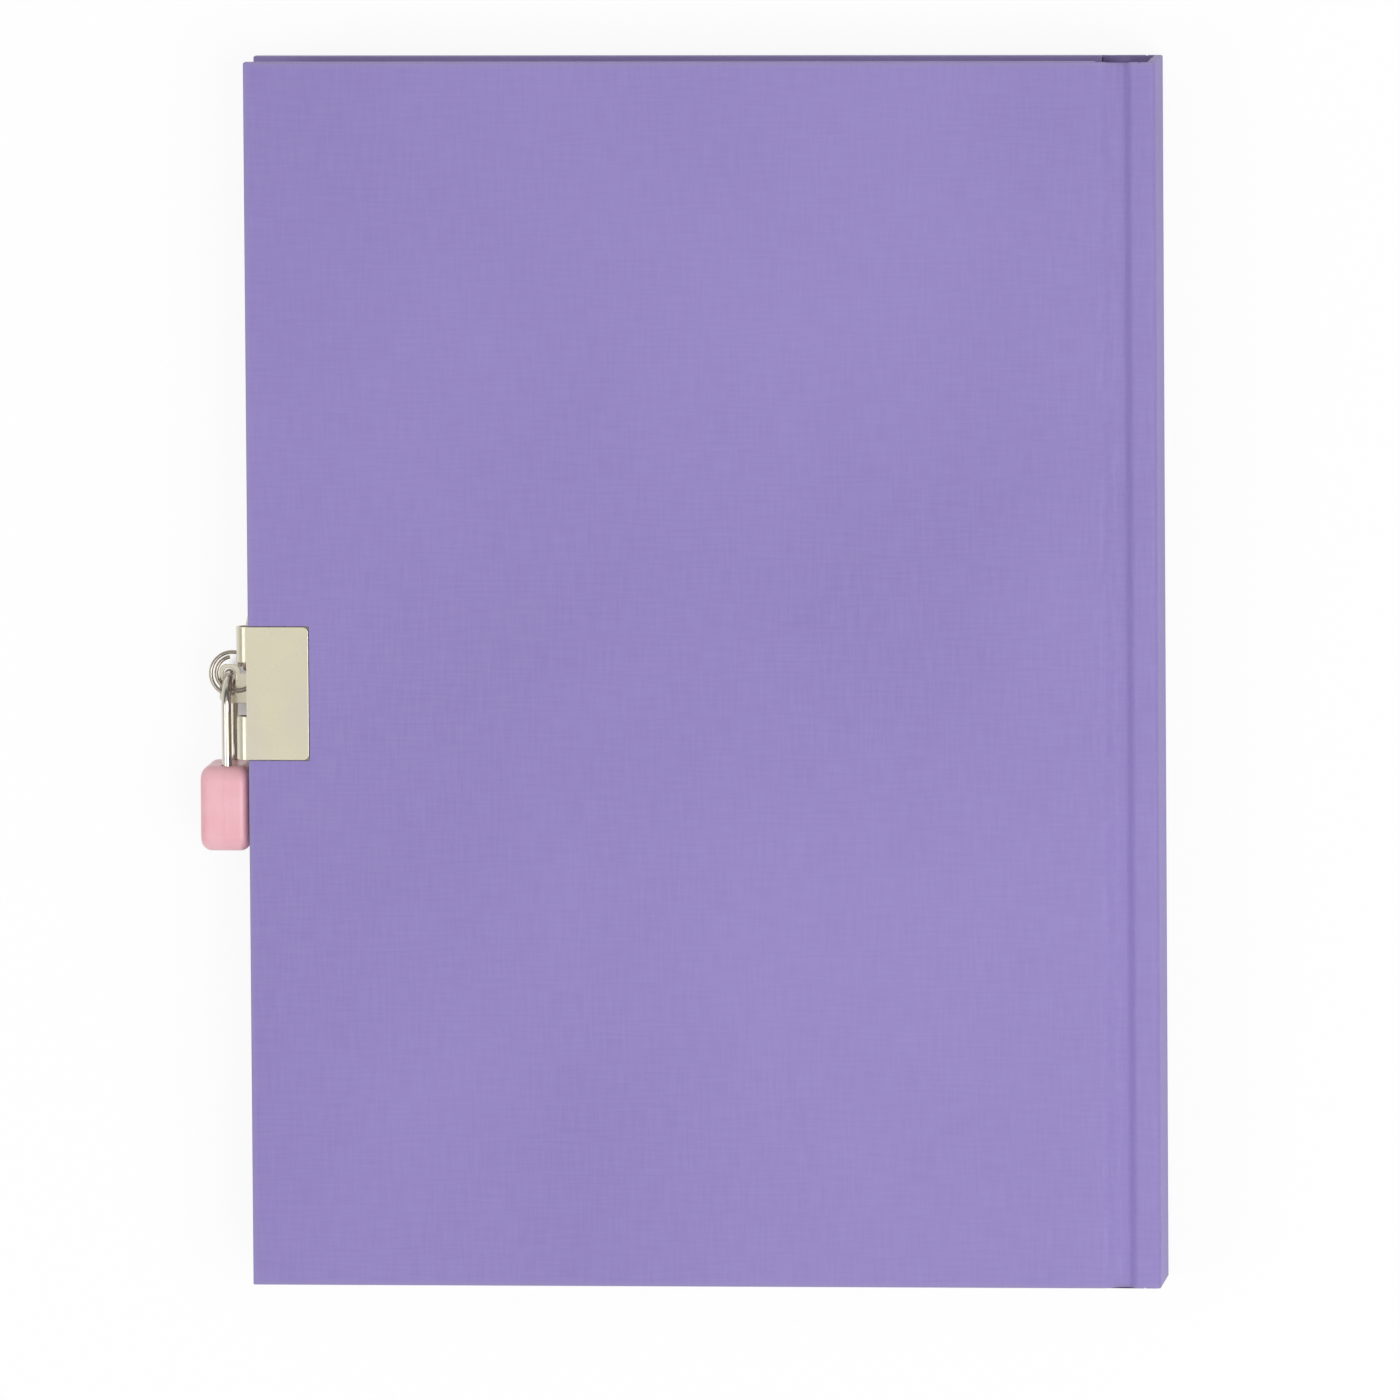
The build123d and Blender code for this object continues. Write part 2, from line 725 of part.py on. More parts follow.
# Keys, on edge in the recess between the boards, threaded on the ring
def key_solid(ring_angle):
    lean = radians(key_lean)
    hang = ring_place(ring_angle + 360)
    flat = Plane(origin=hang, x_dir=(sin(lean), cos(lean), 0), z_dir=(cos(lean), -sin(lean), 0))
    bow_centre = key_bow_radius - key_rim - key_hole_radius
    shank_top = key_shank / 2
    notch_root = shank_top - key_notch_depth
    with BuildPart() as key:
        with BuildSketch(flat):
            with Locations((bow_centre, 0)):
                Circle(key_bow_radius)
            with BuildLine():
                Polyline(
                    (bow_centre, shank_top),
                    (key_length - key_tip, shank_top),
                    (key_length, shank_top - key_tip),
                    (key_length - key_tip, -shank_top),
                    (bow_centre, -shank_top),
                    close=True,
                )
            make_face()
            for number in range(key_notch_count):
                notch_centre = key_length - (number + 1) * key_notch_pitch
                with BuildLine():
                    Polyline(
                        (notch_centre - key_notch_width / 2, shank_top + key_notch_depth),
                        (notch_centre - key_notch_width / 2, shank_top),
                        (notch_centre, notch_root),
                        (notch_centre + key_notch_width / 2, shank_top),
                        (notch_centre + key_notch_width / 2, shank_top + key_notch_depth),
                        close=True,
                    )
                make_face(mode=Mode.SUBTRACT)
            Circle(key_hole_radius, mode=Mode.SUBTRACT)
        extrude(amount=key_thickness / 2, both=True)
    return key


for number, ring_angle in enumerate(key_angles):
    key = key_solid(ring_angle)
    key.part.label = f"key_{number + 1}"
    export_step(key.part, f"parts/key_{number + 1}.step")
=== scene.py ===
# %% [markdown]
# # A diary with a padlock
# The diary lies closed on a white table, back cover up. Its case is greyboard covered in
# purple paper with a linen emboss, and two nickel-plated clasp plates are held together by
# a small pink padlock. The construction arrives as a fixed frame at its real size, and this
# lesson dresses it: softer edges, the paper's wrap, single leaves, and a finish for each surface.

# %% Load the frame
import math
import random

import bmesh
import bpy
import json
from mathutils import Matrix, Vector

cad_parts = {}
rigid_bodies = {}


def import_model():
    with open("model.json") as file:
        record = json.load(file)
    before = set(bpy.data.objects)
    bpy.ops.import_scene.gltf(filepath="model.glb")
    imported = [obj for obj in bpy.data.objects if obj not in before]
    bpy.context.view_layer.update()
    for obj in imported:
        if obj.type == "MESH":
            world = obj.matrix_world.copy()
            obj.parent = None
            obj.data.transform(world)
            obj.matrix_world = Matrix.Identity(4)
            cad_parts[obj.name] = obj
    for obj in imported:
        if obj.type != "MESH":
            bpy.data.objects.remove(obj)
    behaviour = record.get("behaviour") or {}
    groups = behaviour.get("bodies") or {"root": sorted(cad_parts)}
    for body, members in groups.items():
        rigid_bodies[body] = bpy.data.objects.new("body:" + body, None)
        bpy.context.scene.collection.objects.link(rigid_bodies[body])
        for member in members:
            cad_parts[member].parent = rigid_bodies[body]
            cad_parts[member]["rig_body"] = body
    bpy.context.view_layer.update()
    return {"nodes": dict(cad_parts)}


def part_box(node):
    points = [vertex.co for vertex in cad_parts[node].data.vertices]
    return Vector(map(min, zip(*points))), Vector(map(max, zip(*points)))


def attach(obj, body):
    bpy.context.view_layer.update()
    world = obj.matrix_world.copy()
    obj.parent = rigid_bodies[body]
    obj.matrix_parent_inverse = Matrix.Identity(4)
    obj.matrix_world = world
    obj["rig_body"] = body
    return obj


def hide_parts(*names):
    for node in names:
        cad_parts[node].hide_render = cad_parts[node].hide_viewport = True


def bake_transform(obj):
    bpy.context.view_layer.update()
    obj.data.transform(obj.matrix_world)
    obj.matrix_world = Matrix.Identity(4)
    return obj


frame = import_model()
nodes = frame["nodes"]
MM = 0.001
print("pieces in the frame:", len(nodes))

# %% [markdown]
# ## Camera
# The picture was taken from far above with a long lens: the cover's two long edges stay almost
# parallel, and the front cover only peeps out past the head. A place four metres up, a little
# towards the head and the spine, gives that view, so the lens has to be very long.

# %% Camera
CAMERA_PLACE = (0.3688, 0.3767, 3.9651)
CAMERA_TURN = (-5.529, 5.309, -0.393)
CAMERA_LENS = 566.97

camera_data = bpy.data.cameras.new("camera")
camera_data.lens = CAMERA_LENS
camera_data.clip_end = 50.0
camera = bpy.data.objects.new("camera", camera_data)
camera.location = CAMERA_PLACE
camera.rotation_euler = [math.radians(angle) for angle in CAMERA_TURN]
bpy.context.scene.collection.objects.link(camera)
bpy.context.scene.camera = camera
bpy.context.scene.view_settings.view_transform = "Standard"
print("camera height in metres:", CAMERA_PLACE[2])

# %% [markdown]
# ## Colours and nodes
# Colours are written as the hex values a painter's program shows, and turned into the linear
# light that the renderer counts in. One helper adds a shader node, sets it and wires it.


# %% Helpers for colour and shader nodes
def linear(hex_colour):
    """sRGB hex to linear light, with full alpha."""
    values = [int(hex_colour[place:place + 2], 16) / 255 for place in (1, 3, 5)]
    curve = [v / 12.92 if v <= 0.04045 else ((v + 0.055) / 1.055) ** 2.4 for v in values]
    return (*curve, 1.0)


def add_node(tree, kind, settings=None, **inputs):
    """Adds one node; inputs are values or the outputs that feed them, named by socket or by number."""
    node = tree.nodes.new(kind)
    for name, value in (settings or {}).items():
        setattr(node, name, value)
    for name, value in inputs.items():
        number = name.removeprefix("input_")
        socket = node.inputs[int(number) if number.isdigit() else name.replace("_", " ")]
        if isinstance(value, bpy.types.NodeSocket):
            tree.links.new(value, socket)
        else:
            socket.default_value = value
    return node


# settings that many nodes share
MULTIPLY = {"operation": "MULTIPLY"}
SUBTRACT = {"operation": "SUBTRACT"}
ABSOLUTE = {"operation": "ABSOLUTE"}
MAXIMUM = {"operation": "MAXIMUM"}
RGBA = {"data_type": "RGBA"}
NOISE_MIDDLE = {"From_Min": 0.35, "From_Max": 0.65}  # where most of a noise's values lie


def start_material(name):
    """Empty material with a surface shader that is wired to its output."""
    material = bpy.data.materials.new(name)
    material.use_nodes = True
    tree = material.node_tree
    tree.nodes.clear()
    surface = add_node(tree, "ShaderNodeBsdfPrincipled")
    add_node(tree, "ShaderNodeOutputMaterial", Surface=surface.outputs["BSDF"])
    return material, tree, surface


def stretched_noise(tree, lengths_mm, detail=3.0):
    """Noise whose grains are lengths_mm long in X, Y and Z on the object."""
    place = add_node(tree, "ShaderNodeTexCoord").outputs["Object"]
    scale = [1 / (length * MM) for length in lengths_mm]
    scaled = add_node(tree, "ShaderNodeVectorMath", MULTIPLY, input_0=place, input_1=scale)
    return add_node(tree, "ShaderNodeTexNoise", Vector=scaled.outputs[0], Scale=1.0, Detail=detail)


def finish_surface(tree, surface, colour, roughness, height=None, depth_mm=0.0, strength=1.0):
    """Gives the shader its colour, roughness and, where a height is given, its relief."""
    for name, value in (("Base Color", colour), ("Roughness", roughness)):
        if isinstance(value, bpy.types.NodeSocket):
            tree.links.new(value, surface.inputs[name])
        else:
            surface.inputs[name].default_value = linear(value) if isinstance(value, str) else value
    if height is not None:
        bump = add_node(tree, "ShaderNodeBump", Height=height, Distance=depth_mm * MM, Strength=strength)
        tree.links.new(bump.outputs[0], surface.inputs["Normal"])


print("middle grey in linear light:", round(linear("#808080")[0], 3))

# %% [markdown]
# ## Covering paper
# Book covering paper is dyed through and pressed between steel rollers that print a linen
# weave on it. That gives the eye a soft sheen broken by short threads in two directions. Real
# threads stand about 0.35 mm apart; they are drawn at 0.5 mm, so that the render can show them.
# Two stretched noises make them, one along each edge of the book; the raised threads are painted
# lighter, a painted sheen. The paper is also a little greyer near the fore-edge, head and tail.

# %% Covering paper
THREAD_PITCH = 0.5
THREAD_LENGTH = 7.0
# the raised threads are painted lighter towards this colour: a painted sheen on the emboss
THREAD_SHEEN_COLOUR = "#A598D0"
THREAD_SHEEN_SHARE = 0.22
WEAVE_MIDDLE = {"From_Min": 0.75, "From_Max": 1.25}  # two noises added
CLOUD_MM = (70.0, 90.0, 70.0)
CLOUD_COLOURS = ("#8E7EBD", "#9484C4")
EDGE_GREY_WIDTH = 1.1
EDGE_GREY_COLOUR = "#9990B8"
EDGE_GREY_SHARE = 0.6
EMBOSS_DEPTH = 0.04
EMBOSS_STRENGTH = 0.45
WEAVE_GLOSS = {"To_Min": 0.62, "To_Max": 0.5}
PAPER_SHINE = 0.35


def embossed_paper():
    material, tree, surface = start_material("covering_paper_linen_embossed")
    along = stretched_noise(tree, (THREAD_LENGTH, THREAD_PITCH, THREAD_PITCH)).outputs["Fac"]
    across = stretched_noise(tree, (THREAD_PITCH, THREAD_LENGTH, THREAD_PITCH)).outputs["Fac"]
    weave = add_node(tree, "ShaderNodeMath", input_0=along, input_1=across)
    weave = add_node(tree, "ShaderNodeMapRange", Value=weave.outputs[0], **WEAVE_MIDDLE)
    cloud = stretched_noise(tree, CLOUD_MM, detail=2.0).outputs["Fac"]
    cloud = add_node(tree, "ShaderNodeMapRange", Value=cloud, **NOISE_MIDDLE)
    dye = add_node(tree, "ShaderNodeMix", RGBA, Factor=cloud.outputs[0],
                   input_6=linear(CLOUD_COLOURS[0]), input_7=linear(CLOUD_COLOURS[1]))
    # the raised threads are painted lighter: a painted sheen
    thread_sheen = add_node(tree, "ShaderNodeMath", MULTIPLY, input_0=weave.outputs[0], input_1=THREAD_SHEEN_SHARE)
    dye = add_node(tree, "ShaderNodeMix", RGBA, Factor=thread_sheen.outputs[0],
                   input_6=dye.outputs[2], input_7=linear(THREAD_SHEEN_COLOUR))
    # greyer within 1.1 mm of the three open edges
    place = add_node(tree, "ShaderNodeTexCoord").outputs["Object"]
    parts = add_node(tree, "ShaderNodeSeparateXYZ", Vector=place)
    low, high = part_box("back_cover_paper")
    from_fore = add_node(tree, "ShaderNodeMath", SUBTRACT, input_0=parts.outputs[0], input_1=low.x)
    side = add_node(tree, "ShaderNodeMath", ABSOLUTE, input_0=parts.outputs[1])
    from_end = add_node(tree, "ShaderNodeMath", SUBTRACT, input_0=high.y, input_1=side.outputs[0])
    nearest = add_node(tree, "ShaderNodeMath", {"operation": "MINIMUM"},
                       input_0=from_fore.outputs[0], input_1=from_end.outputs[0])
    edge_grey = add_node(tree, "ShaderNodeMapRange", Value=nearest.outputs[0],
                      From_Max=EDGE_GREY_WIDTH * MM, To_Min=EDGE_GREY_SHARE, To_Max=0.0)
    dye = add_node(tree, "ShaderNodeMix", RGBA, Factor=edge_grey.outputs[0],
                   input_6=dye.outputs[2], input_7=linear(EDGE_GREY_COLOUR))
    gloss = add_node(tree, "ShaderNodeMapRange", Value=weave.outputs[0], **WEAVE_GLOSS)
    finish_surface(tree, surface, dye.outputs[2], gloss.outputs[0],
                   weave.outputs[0], EMBOSS_DEPTH, EMBOSS_STRENGTH)
    surface.inputs["Specular IOR Level"].default_value = PAPER_SHINE
    return material


covering_paper = embossed_paper()
print("threads every", THREAD_PITCH, "mm")

# %% [markdown]
# ## Writing paper
# Uncoated paper is matte and very slightly yellow. Its sheets show on the edge of the block as
# fine lines, and each page has faint ruled lines. The side that a face looks to tells the two
# apart: the rules are drawn where it looks up or down, and the sheets' lines everywhere else.

# %% Writing paper
RULE_SPACING = 7.0
RULE_WIDTH = 0.3
RULE_COLOUR = "#B9B4CF"
SHEET_MM = (40.0, 40.0, 0.2)
PAGE_COLOUR = "#F4F1E8"
EDGE_COLOUR = "#D9D4C6"
PAGE_LEVEL = 0.9  # upward part of the normal, above which a face is a page
PAGE_ROUGHNESS = 0.85
SHEET_DEPTH = 0.04
SHEET_STRENGTH = 0.5
WORLD_TO_OBJECT = {"vector_type": "NORMAL", "convert_from": "WORLD", "convert_to": "OBJECT"}


def writing_paper():
    material, tree, surface = start_material("writing_paper_uncoated")
    place = add_node(tree, "ShaderNodeTexCoord").outputs["Object"]
    parts = add_node(tree, "ShaderNodeSeparateXYZ", Vector=place)
    normal = add_node(tree, "ShaderNodeNewGeometry").outputs["True Normal"]
    normal = add_node(tree, "ShaderNodeVectorTransform", WORLD_TO_OBJECT, Vector=normal)
    facing = add_node(tree, "ShaderNodeSeparateXYZ", Vector=normal.outputs[0])
    flat = add_node(tree, "ShaderNodeMath", ABSOLUTE, input_0=facing.outputs[2])
    on_page = add_node(tree, "ShaderNodeMath", {"operation": "GREATER_THAN"},
                       input_0=flat.outputs[0], input_1=PAGE_LEVEL)
    step = add_node(tree, "ShaderNodeMath", {"operation": "DIVIDE"},
                    input_0=parts.outputs[1], input_1=RULE_SPACING * MM)
    within = add_node(tree, "ShaderNodeMath", {"operation": "FRACT"}, input_0=step.outputs[0])
    ruled = add_node(tree, "ShaderNodeMath", {"operation": "LESS_THAN"},
                     input_0=within.outputs[0], input_1=RULE_WIDTH / RULE_SPACING)
    line = add_node(tree, "ShaderNodeMath", MULTIPLY,
                    input_0=ruled.outputs[0], input_1=on_page.outputs[0])
    sheets = stretched_noise(tree, SHEET_MM, detail=2.0).outputs["Fac"]
    shade = add_node(tree, "ShaderNodeMapRange", Value=sheets, **NOISE_MIDDLE)
    on_edge = add_node(tree, "ShaderNodeMath", SUBTRACT, input_0=1.0, input_1=on_page.outputs[0])
    shade = add_node(tree, "ShaderNodeMath", MULTIPLY,
                     input_0=shade.outputs[0], input_1=on_edge.outputs[0])
    colour = add_node(tree, "ShaderNodeMix", RGBA, Factor=shade.outputs[0],
                      input_6=linear(PAGE_COLOUR), input_7=linear(EDGE_COLOUR))
    colour = add_node(tree, "ShaderNodeMix", RGBA, Factor=line.outputs[0],
                      input_6=colour.outputs[2], input_7=linear(RULE_COLOUR))
    finish_surface(tree, surface, colour.outputs[2], PAGE_ROUGHNESS, sheets, SHEET_DEPTH, SHEET_STRENGTH)
    return material


leaf_paper = writing_paper()
print("ruled every", RULE_SPACING, "mm")

# %% [markdown]
# ## Endpaper and greyboard
# The endpaper is a heavier plain sheet with a fine grain. Greyboard is pressed from waste
# paper, so it is flecked. Both are one noise between two colours, with a little relief.

# %% Endpaper and greyboard
ENDPAPER_GRAIN = 0.5
BOARD_FLECK = 0.6
GRAIN_DEPTH = 0.02
GRAIN_STRENGTH = 0.4


def plain_sheet(name, light, dark, grain_mm, roughness):
    material, tree, surface = start_material(name)
    grain = stretched_noise(tree, (grain_mm, grain_mm, grain_mm)).outputs["Fac"]
    share = add_node(tree, "ShaderNodeMapRange", Value=grain, **NOISE_MIDDLE)
    colour = add_node(tree, "ShaderNodeMix", RGBA, Factor=share.outputs[0],
                      input_6=linear(light), input_7=linear(dark))
    finish_surface(tree, surface, colour.outputs[2], roughness, grain, GRAIN_DEPTH, GRAIN_STRENGTH)
    return material


endpaper = plain_sheet("endpaper_cartridge", "#F2EFE9", "#E9E5DC", ENDPAPER_GRAIN, 0.8)
greyboard = plain_sheet("greyboard_pressed", "#A39C8F", "#857F73", BOARD_FLECK, 0.9)
print("sheets:", endpaper.name, greyboard.name)

# %% [markdown]
# ## Metals
# The plates, the shackle, the ring and the keys are steel with a thin bright coat of nickel.
# Nickel reflects a warm grey, and barrel plating leaves it smooth with a few soft scuffs. The
# plug is turned brass and the lock's core is cast zinc. Each metal differs only in its colour,
# how rough it is and the size and depth of its scuffs, so one function makes them all.

# %% Metals
SOFT_ENDS = {"interpolation_type": "SMOOTHSTEP"}
SCUFF_SPAN = {"From_Min": 0.2, "From_Max": 0.8}
SCUFF_STRENGTH = 0.3
# two colours, the smoothest and roughest value, and the scuffs' size and depth in mm
METALS = {
    "nickel_plated_sheet": ("#DDD6C6", "#D6D0B5", 0.2, 0.3, (9.0, 14.0, 9.0), 0.0),
    "nickel_plated_wire": ("#DCD7CC", "#CFC8BB", 0.1, 0.16, (2.0, 6.0, 2.0), 0.0),
    "nickel_plated_spring_wire": ("#BFB6A8", "#A89F92", 0.2, 0.3, (1.5, 1.5, 1.5), 0.01),
    "nickel_plated_key_stock": ("#CFCAC0", "#BEB8AC", 0.25, 0.4, (3.0, 3.0, 3.0), 0.01),
    "cast_zinc_alloy": ("#A9AAAC", "#8E8F92", 0.4, 0.6, (0.6, 0.6, 0.6), 0.03),
    "ground_steel": ("#B4B4B4", "#9C9C9C", 0.25, 0.4, (0.4, 2.0, 0.4), 0.01),
    "turned_brass": ("#D8B968", "#C2A152", 0.2, 0.35, (0.3, 0.3, 0.3), 0.02),
}


def metal(name, light, dark, smooth, rough, scuff_mm, relief_mm):
    material, tree, surface = start_material(name)
    scuffs = stretched_noise(tree, scuff_mm).outputs["Fac"]
    share = add_node(tree, "ShaderNodeMapRange", SOFT_ENDS, Value=scuffs, **SCUFF_SPAN)
    colour = add_node(tree, "ShaderNodeMix", RGBA, Factor=share.outputs[0],
                      input_6=linear(light), input_7=linear(dark))
    gloss = add_node(tree, "ShaderNodeMapRange", SOFT_ENDS, Value=scuffs,
                     To_Min=smooth, To_Max=rough, **SCUFF_SPAN)
    relief = scuffs if relief_mm else None
    finish_surface(tree, surface, colour.outputs[2], gloss.outputs[0], relief, relief_mm, SCUFF_STRENGTH)
    surface.inputs["Metallic"].default_value = 1.0
    return material


metals = {name: metal(name, *values) for name, values in METALS.items()}
print("metals:", len(metals))

# %% [markdown]
# ## Pink ABS
# The lock's shells are moulded in coloured ABS. A polished mould gives it a soft gloss, light
# goes a very little way in, and the surface keeps a faint unevenness where it shrank.

# %% Pink ABS
SHRINK_MM = (5.0, 5.0, 5.0)
PINK_COLOURS = ("#F3BCC4", "#F0B3BC")
PINK_GLOSS = {"From_Min": 0.3, "From_Max": 0.7, "To_Min": 0.3, "To_Max": 0.38}
SHRINK_DEPTH = 0.04
SHRINK_STRENGTH = 0.3
LIGHT_INSIDE = 0.08
LIGHT_REACH_MM = (1.0, 0.4, 0.4)


def moulded_abs():
    material, tree, surface = start_material("abs_moulded_pink")
    shrink = stretched_noise(tree, SHRINK_MM, detail=2.0).outputs["Fac"]
    share = add_node(tree, "ShaderNodeMapRange", Value=shrink, **NOISE_MIDDLE)
    colour = add_node(tree, "ShaderNodeMix", RGBA, Factor=share.outputs[0],
                      input_6=linear(PINK_COLOURS[0]), input_7=linear(PINK_COLOURS[1]))
    gloss = add_node(tree, "ShaderNodeMapRange", Value=shrink, **PINK_GLOSS)
    finish_surface(tree, surface, colour.outputs[2], gloss.outputs[0],
                   shrink, SHRINK_DEPTH, SHRINK_STRENGTH)
    surface.inputs["Subsurface Weight"].default_value = LIGHT_INSIDE
    surface.inputs["Subsurface Radius"].default_value = [reach * MM for reach in LIGHT_REACH_MM]
    return material


pink_abs = moulded_abs()
print(pink_abs.name)

# %% [markdown]
# ## Making and fitting pieces
# Most new pieces are sheets that keep one cross-section along the whole book. They could be
# shaped by hand, but an outline across the book that is pulled along it follows the frame's own
# measures. Its rims are rounded afterwards. Each piece rides on the body that carries it, and
# stands in for the frame's piece that it dresses.

# %% Helpers for pieces
BOX_FACES = ((0, 2, 3, 1), (4, 5, 7, 6), (0, 1, 5, 4), (2, 6, 7, 3), (0, 4, 6, 2), (1, 3, 7, 5))
RIM_SEGMENTS = 3
RIM_PROFILE = 0.6  # a little fuller than a quarter circle


def mesh_from(shape, name):
    """Mesh made of a finished bmesh, which is freed."""
    data = bpy.data.meshes.new(name)
    shape.to_mesh(data)
    shape.free()
    return data


def new_piece(name, mesh_data, material, smooth_angle=35.0):
    """Links a mesh as an object, with its finish and smooth shading up to an angle."""
    piece = bpy.data.objects.new(name, mesh_data)
    bpy.context.scene.collection.objects.link(piece)
    piece.data.materials.clear()
    piece.data.materials.append(material)
    with bpy.context.temp_override(object=piece, active_object=piece, selected_objects=[piece],
                                   selected_editable_objects=[piece]):
        bpy.ops.object.shade_smooth_by_angle(angle=math.radians(smooth_angle))
    return piece


def add_box(shape, xs, ys, zs):
    """Adds a box to a bmesh; xs, ys and zs are its low and high values."""
    corners = [shape.verts.new((x, y, z)) for z in zs for y in ys for x in xs]
    for face in BOX_FACES:
        shape.faces.new([corners[corner] for corner in face])


def pulled_outline(name, outline, low_y, high_y, rim_mm, material, round_edges=None):
    """Solid with this X-Z outline between two heights of the book; its end rims are rounded."""
    shape = bmesh.new()
    ends = []
    for y in (low_y, high_y):
        ends.append([shape.verts.new((x, y, z)) for x, z in outline])
    count = len(outline)
    shape.faces.new(ends[0])
    shape.faces.new(list(reversed(ends[1])))
    for first in range(count):
        second = (first + 1) % count
        shape.faces.new((ends[0][second], ends[0][first], ends[1][first], ends[1][second]))
    bmesh.ops.recalc_face_normals(shape, faces=shape.faces)
    rims = [edge for edge in shape.edges if abs(edge.verts[0].co.y - edge.verts[1].co.y) < MM]
    if round_edges:
        rims += [edge for edge in shape.edges if edge not in rims and round_edges(edge.verts[0].co)]
    bmesh.ops.bevel(shape, geom=rims, offset=rim_mm * MM, segments=RIM_SEGMENTS,
                    profile=RIM_PROFILE, affect="EDGES", clamp_overlap=True)
    return new_piece(name, mesh_from(shape, name), material)


def cut_box(piece, low, high):
    """Cuts the box between two corners out of a piece's mesh."""
    shape = bmesh.new()
    add_box(shape, *zip(low, high))
    bmesh.ops.recalc_face_normals(shape, faces=shape.faces)
    cutter_data = mesh_from(shape, "cutter")
    cutter = bpy.data.objects.new("cutter", cutter_data)
    bpy.context.scene.collection.objects.link(cutter)
    cut = piece.modifiers.new("cut", "BOOLEAN")
    cut.object = cutter
    cut.solver = "EXACT"
    bpy.context.view_layer.update()
    whole = piece.data
    evaluated = piece.evaluated_get(bpy.context.evaluated_depsgraph_get())
    piece.data = bpy.data.meshes.new_from_object(evaluated)
    piece.modifiers.remove(cut)
    # removing the cutter's mesh removes the cutter too
    for unused in (whole, cutter_data):
        bpy.data.meshes.remove(unused)


def stands_for(piece, body, *cad_nodes, slot=None):
    """Rides on a body in the place of the frame's own pieces."""
    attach(piece, body)
    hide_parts(*cad_nodes)


print("steps in a rounded rim:", RIM_SEGMENTS)

# %% [markdown]
# ## The case
# One sheet of paper covers both boards and the spine. Beside each board it is pressed down
# into the hinge groove, then rises to a narrow shoulder and turns round the spine. The sheet is
# drawn as seven pieces that meet edge to edge, because a stiff piece can follow only one part of
# the case: a wrap for each cover, one for the spine, two short hinge strips, and the paper that
# is turned in at the two ends of the spine.

# %% Sizes of the case
cover_low, cover_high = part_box("back_cover_paper")
front_low, front_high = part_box("front_cover_paper")
board_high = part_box("back_board")[1]
spine_low, spine_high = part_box("spine_cover_paper")
STRIP_THICKNESS = 0.6 * MM
SPINE_CORNER = 1.0 * MM
HINGE_START = 1.4 * MM
HINGE_ON_SPINE = 1.7 * MM
RIM = 0.28  # mm, how far the rims of the paper are rounded
shoulder_end_x = spine_low.x - HINGE_START
print("groove starts", round((spine_high.x - board_high.x) / MM, 2), "mm from the spine's face")

# %% [markdown]
# The groove is pressed in with a hot iron while the glue is wet, so its sides are smooth slopes.
# They could be arcs, but half a cosine wave meets the flat paper without a crease at both ends.
# The longer slope comes down from the board, the shorter one rises to the shoulder, and the
# bottom between them is narrow.

# %% The groove's cross-section
GROOVE_WIDTH = 6.9 * MM
GROOVE_DEPTH = 1.1 * MM
BOARD_SLOPE = 4.0 * MM
SPINE_SLOPE = 2.2 * MM
SLOPE_STEPS = 12


def groove_points():
    """(x, depth) along the outside of the joint, from the board's edge to the end of the shoulder."""
    points = []
    for step in range(SLOPE_STEPS + 1):
        share = step / SLOPE_STEPS
        ease = (1 - math.cos(math.pi * share)) / 2
        points.append((board_high.x + BOARD_SLOPE * share, GROOVE_DEPTH * ease))
    far_x = board_high.x + GROOVE_WIDTH
    for step in range(SLOPE_STEPS + 1):
        share = step / SLOPE_STEPS
        ease = (1 + math.cos(math.pi * share)) / 2
        points.append((far_x - SPINE_SLOPE * (1 - share), GROOVE_DEPTH * ease))
    points.append((shoulder_end_x, 0.0))
    return points


print("points along the groove:", len(groove_points()))

# %% [markdown]
# Paper is glued round each board, so its rims are round, and the fore-edge is as round as the
# head and the tail. A shallow pocket, a hair larger than the clasp plate, keeps the paper clear
# of the plate. It is cut out as a box after the rims are rounded, so that they stay round beside
# it.

# %% Cover wraps
POCKET_PLAY = 0.12 * MM
POCKET_DEPTH = 0.5 * MM
LEAF_LENGTH = 11.0 * MM  # how far the clasp plate reaches on to the board
OVERRUN = 1.0 * MM  # how far the cutter starts outside the paper
SAME_PLACE = 0.01 * MM


def at_fore_edge(place):
    return abs(place.x - cover_low.x) < SAME_PLACE


def cover_wrap(name, body, cad_node, clip_node, outer_z, inner_z):
    """Paper round one board, with its half of the joint. Depths run from outer_z towards inner_z."""
    inward = 1 if inner_z > outer_z else -1
    joint = groove_points()
    outside = [(cover_low.x, outer_z)] + [(x, outer_z + inward * depth) for x, depth in joint]
    inside = [(x, outer_z + inward * (depth + STRIP_THICKNESS)) for x, depth in reversed(joint)]
    outline = outside + inside + [(board_high.x, inner_z), (cover_low.x, inner_z)]
    wrap = pulled_outline(name, outline, cover_low.y, cover_high.y, RIM, covering_paper,
                          round_edges=at_fore_edge)
    clip_low, clip_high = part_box(clip_node)
    pocket_end_x = cover_low.x + LEAF_LENGTH + POCKET_PLAY
    pocket_zs = sorted((outer_z + inward * POCKET_DEPTH, outer_z - inward * OVERRUN))
    pocket_low = (cover_low.x - OVERRUN, clip_low.y - POCKET_PLAY, pocket_zs[0])
    pocket_high = (pocket_end_x, clip_high.y + POCKET_PLAY, pocket_zs[1])
    cut_box(wrap, pocket_low, pocket_high)
    stands_for(wrap, body, cad_node, slot="cover_paper")
    return wrap


back_wrap = cover_wrap("back_cover_wrap", "back_cover", "back_cover_paper", "back_clip",
                       outer_z=cover_high.z, inner_z=cover_low.z)
front_wrap = cover_wrap("front_cover_wrap", "front_cover", "front_cover_paper", "front_clip",
                        outer_z=front_low.z, inner_z=front_high.z)
print("faces in the wraps:", len(back_wrap.data.polygons), len(front_wrap.data.polygons))

# %% [markdown]
# The hinge strip is where the covering paper folds each time the book is opened. It starts on
# the shoulder, turns the rounded corner and ends on the spine's face.

# %% Hinge strips
CORNER_STEPS = 8


